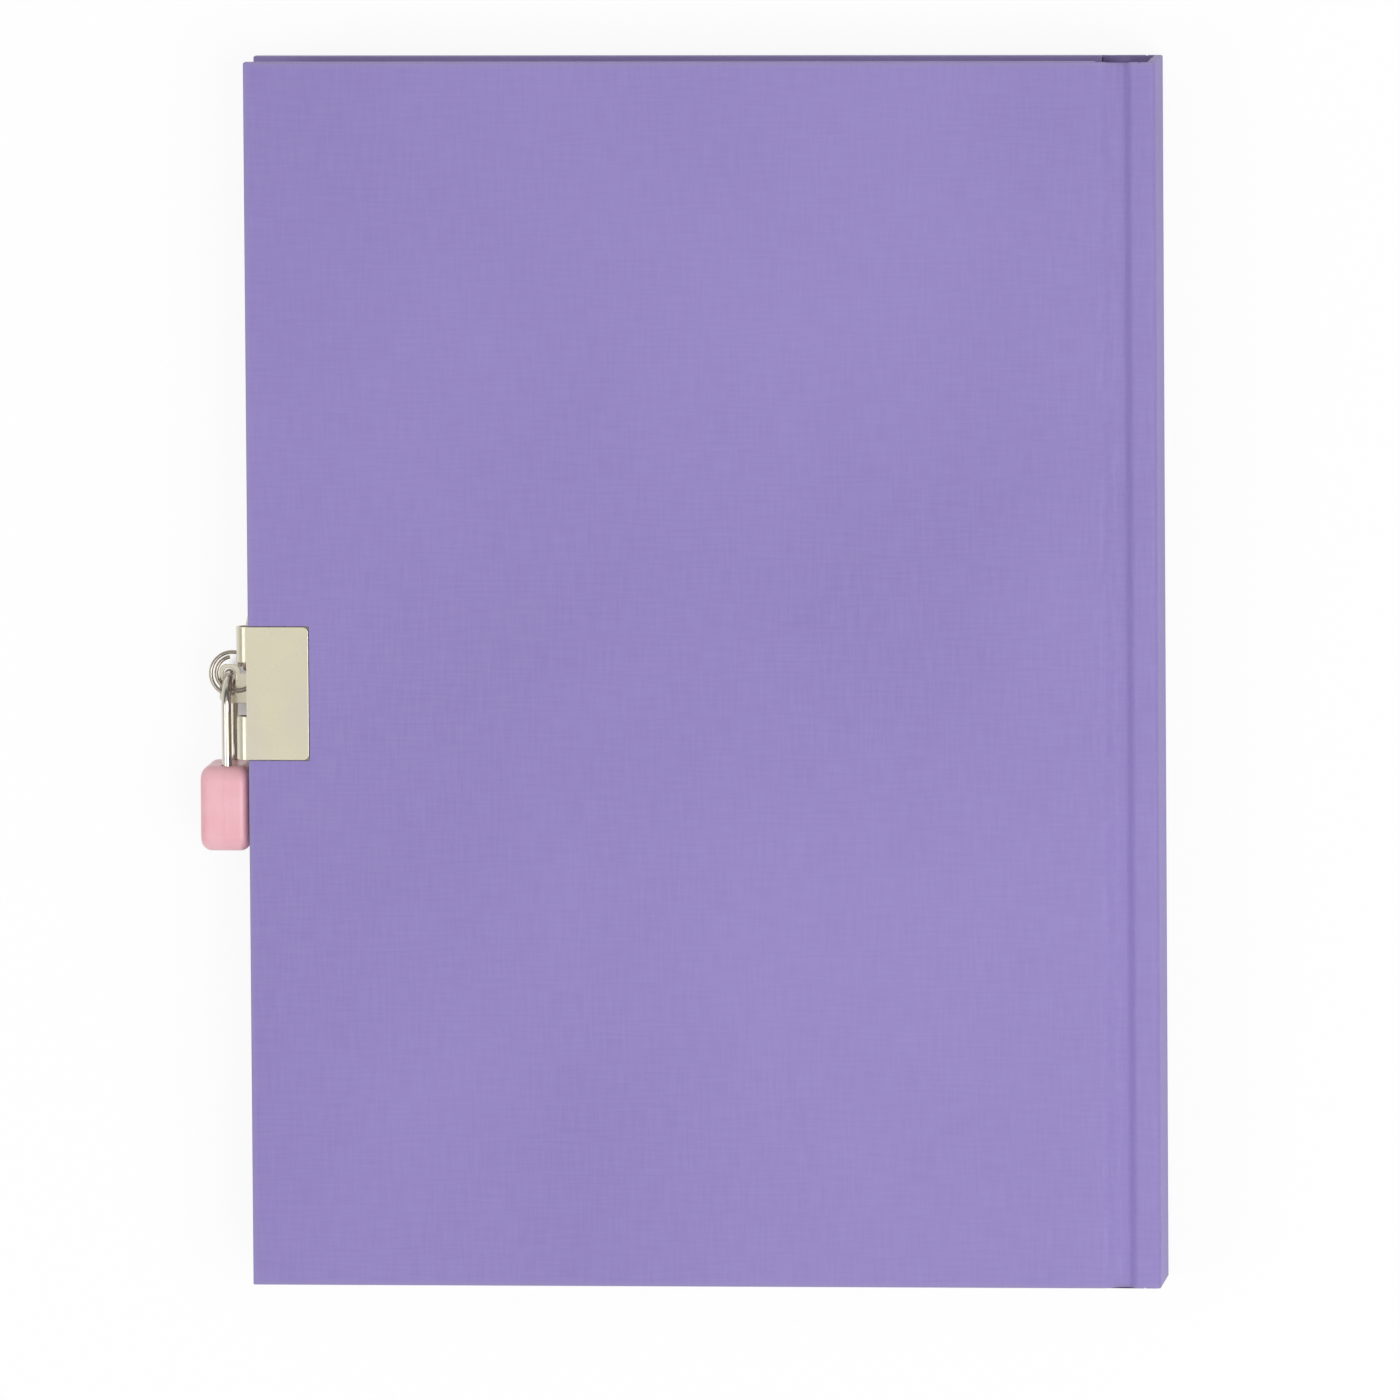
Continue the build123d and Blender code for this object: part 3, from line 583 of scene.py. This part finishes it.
def hinge_strip(name, cover_body, outer_z, inward):
    """Strip of paper round one long corner of the spine."""
    corner_x = spine_high.x - SPINE_CORNER
    outer = [(shoulder_end_x, 0.0), (corner_x - SPINE_CORNER, 0.0)]
    inner = [(shoulder_end_x, STRIP_THICKNESS), (corner_x - SPINE_CORNER, STRIP_THICKNESS)]
    for step in range(CORNER_STEPS + 1):
        angle = math.pi / 2 * step / CORNER_STEPS
        for line, radius in ((outer, SPINE_CORNER), (inner, SPINE_CORNER - STRIP_THICKNESS)):
            line.append((corner_x + radius * math.sin(angle), SPINE_CORNER - radius * math.cos(angle)))
    outer.append((spine_high.x, HINGE_ON_SPINE))
    inner.append((spine_high.x - STRIP_THICKNESS, HINGE_ON_SPINE))
    outline = [(x, outer_z + inward * depth) for x, depth in outer + inner[::-1]]
    strip = pulled_outline(name, outline, cover_low.y, cover_high.y, RIM, covering_paper)
    if cover_body == "front_cover":
        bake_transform(strip)
    else:
        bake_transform(strip)
    return strip


back_hinge = hinge_strip("back_hinge_strip", "back_cover", cover_high.z, -1)
front_hinge = hinge_strip("front_hinge_strip", "front_cover", front_low.z, 1)
print("hinge strips:", back_hinge.name, front_hinge.name)

# %% [markdown]
# The paper on the spine's face is flat and fills the height between the two strips. At the head
# and the tail it is folded in over the end of the spine card. Each fold is drawn as one thin flat
# piece with cut corners, because its two layers of paper can't be told apart.

# %% The spine's wrap and its turned-in ends
TURNED_PAPER = 0.28 * MM
TURNED_RIM = RIM / 4
inside_x = spine_high.x - STRIP_THICKNESS
middle_x = spine_high.x - STRIP_THICKNESS / 2
spine_outline = [
    (spine_high.x, front_low.z + HINGE_ON_SPINE),
    (spine_high.x, cover_high.z - HINGE_ON_SPINE),
    (inside_x, cover_high.z - HINGE_ON_SPINE),
    (inside_x, front_low.z + HINGE_ON_SPINE),
]
end_outline = [
    (spine_low.x, front_low.z + SPINE_CORNER / 2),
    (inside_x, front_low.z + SPINE_CORNER / 2),
    (middle_x, front_low.z + SPINE_CORNER),
    (middle_x, cover_high.z - SPINE_CORNER),
    (inside_x, cover_high.z - SPINE_CORNER / 2),
    (spine_low.x, cover_high.z - SPINE_CORNER / 2),
]

spine_wrap = pulled_outline("spine_wrap", spine_outline, cover_low.y, cover_high.y, RIM, covering_paper)
stands_for(spine_wrap, "spine", "spine_cover_paper", slot="cover_paper")
for name, near_y, far_y in (("spine_head_turn_in", cover_high.y - TURNED_PAPER, cover_high.y),
                            ("spine_tail_turn_in", cover_low.y, cover_low.y + TURNED_PAPER)):
    spine_end = pulled_outline(name, end_outline, near_y, far_y, TURNED_RIM, covering_paper)
    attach(spine_end, "spine")
print("spine wrap height in mm:", round((cover_high.z - front_low.z - 2 * HINGE_ON_SPINE) / MM, 1))

# %% [markdown]
# ## The leaves
# A book block is sewn from folded sections. On a trimmed block the leaves never line up
# exactly, and at the spine each section is round like a fold. Every single leaf would be far
# too fine, so each section is drawn as six thin slabs with small seeded offsets at the three cut
# edges, and the outer slabs stop short of the fold. The outer faces of a section stay exact.

# %% Sections of leaves
LEAVES_SHOWN = 6
CUT_SCATTER = 0.18 * MM
FOLD_STEP = 0.3 * MM
LEAF_GAP = 0.02 * MM
random.seed(7)


def leaf_slabs(cad_node):
    """Mesh of thin slabs that fills one section."""
    low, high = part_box(cad_node)
    thickness = (high.z - low.z) / LEAVES_SHOWN
    middle = (LEAVES_SHOWN - 1) / 2
    shape = bmesh.new()
    for number in range(LEAVES_SHOWN):
        middle_share = abs(number - middle) / middle
        spine_inset = FOLD_STEP * middle_share ** 2
        xs = (low.x + random.uniform(0, CUT_SCATTER), high.x - spine_inset)
        ys = (low.y + random.uniform(0, CUT_SCATTER), high.y - random.uniform(0, CUT_SCATTER))
        zs = (low.z + thickness * number, low.z + thickness * (number + 1) - LEAF_GAP)
        if number == LEAVES_SHOWN - 1:
            zs = (zs[0], high.z)
        add_box(shape, xs, ys, zs)
    return mesh_from(shape, cad_node + "_leaves")


def section_number(name):
    return int(name.removeprefix("section_"))


section_nodes = sorted((name for name in nodes if name.startswith("section_")), key=section_number)
for node_name in section_nodes:
    leaves = new_piece(node_name + "_leaves", leaf_slabs(node_name), leaf_paper)
    stands_for(leaves, nodes[node_name]["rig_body"], node_name, slot="leaves")
print("sections:", len(section_nodes), "slabs in each:", LEAVES_SHOWN)

# %% [markdown]
# ## Softened hardware
# Stamped and plated metal has no knife edges, and a moulded shell has a small radius where its
# two halves meet. The frame's pieces have the right shape but sharp edges. So each is copied,
# its flat faces are joined back into single faces, and a narrow bevel runs along every edge.

# %% Softened copies
MERGE_DISTANCE = 0.002 * MM
FLAT_ANGLE = 0.4  # degrees, up to which faces count as one
BEVEL_SEGMENTS = 3
BEVEL_LIMIT = 32.0  # degrees, above which an edge is rounded
SOFTENED = (
    ("back_clip", "back_clasp_plate", metals["nickel_plated_sheet"], 0.12, "nickel_plate"),
    ("front_clip", "front_clasp_plate", metals["nickel_plated_sheet"], 0.12, "nickel_plate"),
    ("lock_shell_front", "lock_shell_outer", pink_abs, 0.18, "pink_plastic"),
    ("lock_shell_rear", "lock_shell_inner", pink_abs, 0.18, "pink_plastic"),
    ("key_1", "first_key", metals["nickel_plated_key_stock"], 0.1, "key_metal"),
    ("key_2", "second_key", metals["nickel_plated_key_stock"], 0.1, "key_metal"),
    ("lock_plug", "turned_plug", metals["turned_brass"], 0.08, "plug_brass"),
)


def softened(cad_node, name, material, width_mm, slot_name):
    """Copy of a frame's piece with a narrow bevel, in the piece's place."""
    source = nodes[cad_node]
    shape = bmesh.new()
    shape.from_mesh(source.data)
    bmesh.ops.remove_doubles(shape, verts=shape.verts, dist=MERGE_DISTANCE)
    bmesh.ops.dissolve_limit(shape, angle_limit=math.radians(FLAT_ANGLE), verts=shape.verts,
                             edges=shape.edges)
    piece = new_piece(name, mesh_from(shape, name), material, smooth_angle=BEVEL_LIMIT)
    bevel = piece.modifiers.new("edge_round", "BEVEL")
    bevel.width = width_mm * MM
    bevel.segments = BEVEL_SEGMENTS
    bevel.limit_method = "ANGLE"
    bevel.angle_limit = math.radians(BEVEL_LIMIT)
    bevel.harden_normals = True
    stands_for(piece, source["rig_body"], cad_node, slot=slot_name)


for row in SOFTENED:
    softened(*row)
print("softened:", len(SOFTENED))

# %% [markdown]
# ## The shackle
# The shackle is one bent wire, so it is drawn as rings of points along its path. A curve with
# a round bevel could do that too, but it would be round all the way. Where the latch bites and
# where the stop pin runs, the points are pressed flat, as filing would do.

# %% Path of the shackle
WIRE_RADIUS = 0.9 * MM
BEND_STOPS = 36
END_CHAMFER = 0.25 * MM
# depths below the lock's top, in mm, with how far the wire's inner side is cut there
SHORT_LEG = ((0.0, 0.0), (2.15, 0.0), (2.15, 0.6), (3.15, 0.6), (4.625, 0.0), (5.5, 0.0))
LONG_LEG = ((0.0, 0.0), (4.75, 0.0), (4.75, 0.5), (11.85, 0.5), (11.85, 0.0), (13.0, 0.0))
lock_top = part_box("lock_shell_front")[1].y
loop_low, loop_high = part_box("shackle")
shackle_x = (loop_low.x + loop_high.x) / 2
bend_radius = (loop_high.z - loop_low.z) / 2 - WIRE_RADIUS
bend_y = loop_high.y - WIRE_RADIUS - bend_radius
bend_z = (loop_low.z + loop_high.z) / 2


def leg_rings(stops, side):
    """(y, z, turn, radius, cut) for each ring of one leg, from the lock's top to the leg's end."""
    z = bend_z + side * bend_radius
    turn = 90.0 * side
    leg = [(lock_top - depth * MM, z, turn, WIRE_RADIUS, cut * MM) for depth, cut in stops]
    end_y, end_cut = leg[-1][0], leg[-1][4]
    leg[-1] = (end_y + END_CHAMFER, z, turn, WIRE_RADIUS, end_cut)
    leg.append((end_y, z, turn, WIRE_RADIUS - END_CHAMFER, end_cut))
    return leg


def bend_ring(stop):
    """The same five values for one ring of the round bend."""
    turn = -90.0 + 180.0 * stop / BEND_STOPS
    y = bend_y + bend_radius * math.cos(math.radians(turn))
    z = bend_z + bend_radius * math.sin(math.radians(turn))
    return (y, z, turn, WIRE_RADIUS, 0.0)


rings = list(reversed(leg_rings(SHORT_LEG, -1)))
rings += [bend_ring(stop) for stop in range(BEND_STOPS + 1)]
rings += leg_rings(LONG_LEG, 1)
print("rings along the shackle:", len(rings))

# %% [markdown]
# Faces between each ring and the next make the wire's skin, and one face closes each end. The
# skin is built point by point, because only such points can be pressed flat at the notches, and
# its low smoothing angle keeps the notches crisp.

# %% Wire along the path
WIRE_POINTS = 40


def wire_ring(shape, y, z, turn, radius, cut):
    """Points round the wire at one stop; the inner side is pressed flat by cut."""
    out_y, out_z = math.cos(math.radians(turn)), math.sin(math.radians(turn))
    points = []
    for point in range(WIRE_POINTS):
        angle = 2 * math.pi * point / WIRE_POINTS
        outward = max(radius * math.cos(angle), cut - WIRE_RADIUS)
        place = (shackle_x + radius * math.sin(angle), y + outward * out_y, z + outward * out_z)
        points.append(shape.verts.new(place))
    return points


wire = bmesh.new()
loops = [wire_ring(wire, *ring) for ring in rings]
for near, far in zip(loops, loops[1:]):
    for point in range(WIRE_POINTS):
        after = (point + 1) % WIRE_POINTS
        wire.faces.new((near[point], near[after], far[after], far[point]))
wire.faces.new(loops[0])
wire.faces.new(list(reversed(loops[-1])))
bmesh.ops.recalc_face_normals(wire, faces=wire.faces)
bent_shackle = new_piece("bent_shackle", mesh_from(wire, "bent_shackle"), metals["nickel_plated_wire"],
                         smooth_angle=25.0)
stands_for(bent_shackle, "shackle", "shackle", slot="shackle_steel")
print("faces of the wire:", len(bent_shackle.data.polygons))

# %% [markdown]
# ## Finishes for the frame's own pieces
# The boards, the endpapers, the ring and the inside of the lock have the right shape already.
# They keep it and only get the finish of the real thing.

# %% Finishes
FINISHES = {
    "front_board": greyboard,
    "back_board": greyboard,
    "spine_card": greyboard,
    "front_pastedown": endpaper,
    "back_pastedown": endpaper,
    "front_flyleaf": endpaper,
    "back_flyleaf": endpaper,
    "key_ring": metals["nickel_plated_spring_wire"],
    "lock_core": metals["cast_zinc_alloy"],
    "lock_stop_pin": metals["ground_steel"],
    "latch_spring": metals["ground_steel"],
    "lock_latch": metals["ground_steel"],
    "lock_wafers": metals["turned_brass"],
}
for node_name, material in FINISHES.items():
    node = nodes[node_name]
    if not node.material_slots:
        node.data.materials.append(material)
    for material_slot in node.material_slots:
        material_slot.material = material
print("finished:", len(FINISHES))

# %% [markdown]
# ## Table
# The picture has a plain white ground. More lamps would make it white, but they would bleach the
# book too. So the table is matte white paint, and what the camera and the metal see of it is
# lifted towards pure white, with a part of the shadow kept. The little of it that the clasp's
# windows show stays in shadow: a soft spot there is left out of the lift.

# %% Table paint
TABLE_WHITE = "#FBFBFB"
TABLE_GRAIN_MM = (300.0, 300.0, 300.0)
TABLE_GLOSS = {"From_Min": 0.3, "From_Max": 0.7, "To_Min": 0.85, "To_Max": 0.95}
TABLE_LIFT = 0.9
SHADED_SPOT = (-86.2 * MM, -4.6 * MM, 0.0)
SPOT_REACH_MM = (2.4, 6.2, 1.0)
SPOT_FADE = {"From_Min": 0.6, "From_Max": 1.3}  # shares of the reach
WHITE_LIGHT = (1.0, 1.0, 1.0, 1.0)

table_paint, paint, paint_surface = start_material("table_white_paint")
grain = stretched_noise(paint, TABLE_GRAIN_MM)
gloss = add_node(paint, "ShaderNodeMapRange", Value=grain.outputs["Fac"], **TABLE_GLOSS)
finish_surface(paint, paint_surface, TABLE_WHITE, gloss.outputs[0])
rays = add_node(paint, "ShaderNodeLightPath")
seen = add_node(paint, "ShaderNodeMath", MAXIMUM, input_0=rays.outputs["Is Camera Ray"],
                input_1=rays.outputs["Is Transmission Ray"])
seen = add_node(paint, "ShaderNodeMath", MAXIMUM, input_0=seen.outputs[0],
                input_1=rays.outputs["Is Glossy Ray"])
place = add_node(paint, "ShaderNodeNewGeometry").outputs["Position"]
from_spot = add_node(paint, "ShaderNodeVectorMath", SUBTRACT, input_0=place, input_1=SHADED_SPOT)
from_spot = add_node(paint, "ShaderNodeVectorMath", MULTIPLY, input_0=from_spot.outputs[0],
                     input_1=[1 / (reach * MM) for reach in SPOT_REACH_MM])
from_spot = add_node(paint, "ShaderNodeVectorMath", {"operation": "LENGTH"},
                     input_0=from_spot.outputs[0])
outside = add_node(paint, "ShaderNodeMapRange", SOFT_ENDS, Value=from_spot.outputs["Value"], **SPOT_FADE)
lift = add_node(paint, "ShaderNodeMath", MULTIPLY, input_0=seen.outputs[0], input_1=outside.outputs[0])
lift = add_node(paint, "ShaderNodeMath", MULTIPLY, input_0=lift.outputs[0], input_1=TABLE_LIFT)
white = add_node(paint, "ShaderNodeEmission", Color=WHITE_LIGHT, Strength=1.0)
lifted = add_node(paint, "ShaderNodeMixShader", Fac=lift.outputs[0],
                  input_1=paint_surface.outputs[0], input_2=white.outputs[0])
paint_output = next(node for node in paint.nodes if node.type == "OUTPUT_MATERIAL")
paint.links.new(lifted.outputs[0], paint_output.inputs["Surface"])
print("share of white added to the table:", TABLE_LIFT)

# %% [markdown]
# The table is one big square face, because nothing below it shows. It lies a hair below the
# book, so that the two never share a face.

# %% The table
TABLE_SIZE = 3.0
TABLE_DROP = 0.06 * MM
half = TABLE_SIZE / 2
table_corners = [(-half, -half, 0), (half, -half, 0), (half, half, 0), (-half, half, 0)]
table_data = bpy.data.meshes.new("table")
table_data.from_pydata(table_corners, [], [(0, 1, 2, 3)])
table = new_piece("table", table_data, table_paint)
table.location.z = -TABLE_DROP
print("table in metres:", TABLE_SIZE)

# %% [markdown]
# ## Lamps
# The picture's light is very soft, so both lamps are large areas. The stronger one stands over
# the spine and the weaker one over the fore-edge, and both look at the middle of the book.

# %% Lamps
LAMP_SIZE = 1.3
LAMPS = {"key_lamp": ((0.95, -0.35, 2.1), 22.5), "fill_lamp": ((-1.3, -0.5, 2.0), 9.0)}

for lamp_name, (lamp_place, lamp_power) in LAMPS.items():
    lamp_data = bpy.data.lights.new(lamp_name, "AREA")
    lamp_data.size = LAMP_SIZE
    lamp_data.energy = lamp_power
    lamp = bpy.data.objects.new(lamp_name, lamp_data)
    lamp.location = lamp_place
    aim = -lamp.location
    lamp.rotation_euler = aim.to_track_quat("-Z", "Y").to_euler()
    bpy.context.scene.collection.objects.link(lamp)
print("lamp watts:", sum(power for place, power in LAMPS.values()))

# %% [markdown]
# ## Sky
# A pale even sky brings a white surface nearly up to white. Metal looks dull under it, so
# reflections see something else: a bright zenith, a dark ring round it and a bright horizon, as
# from a lamp in a room. The camera itself sees a pure white sky.

# %% Sky
SKY_LEVEL = 0.53
OVERHEAD = {"From_Min": 0.84, "From_Max": 0.965, "To_Min": 0.16, "To_Max": 0.81}
HORIZON = {"From_Min": 0.42, "From_Max": 0.72, "To_Min": 0.75, "To_Max": 0.0}
FLOAT = {"data_type": "FLOAT"}

world = bpy.data.worlds.new("sky")
bpy.context.scene.world = world
world.use_nodes = True
sky = world.node_tree
sky.nodes.clear()
rays = add_node(sky, "ShaderNodeLightPath")
direction = add_node(sky, "ShaderNodeTexCoord").outputs["Generated"]
upward = add_node(sky, "ShaderNodeSeparateXYZ", Vector=direction).outputs[2]
overhead = add_node(sky, "ShaderNodeMapRange", Value=upward, **OVERHEAD)
horizon = add_node(sky, "ShaderNodeMapRange", Value=upward, **HORIZON)
mirrored = add_node(sky, "ShaderNodeMath", MAXIMUM,
                    input_0=overhead.outputs[0], input_1=horizon.outputs[0])
seen = add_node(sky, "ShaderNodeMath", MAXIMUM, input_0=rays.outputs["Is Camera Ray"],
                input_1=rays.outputs["Is Transmission Ray"])
level = add_node(sky, "ShaderNodeMix", FLOAT, Factor=rays.outputs["Is Glossy Ray"],
                 input_2=SKY_LEVEL, input_3=mirrored.outputs[0])
level = add_node(sky, "ShaderNodeMix", FLOAT, Factor=seen.outputs[0],
                 input_2=level.outputs[0], input_3=1.0)
background = add_node(sky, "ShaderNodeBackground", Color=WHITE_LIGHT, Strength=level.outputs[0])
add_node(sky, "ShaderNodeOutputWorld", Surface=background.outputs[0])
print("even sky:", SKY_LEVEL)

# %% Import of json
import json
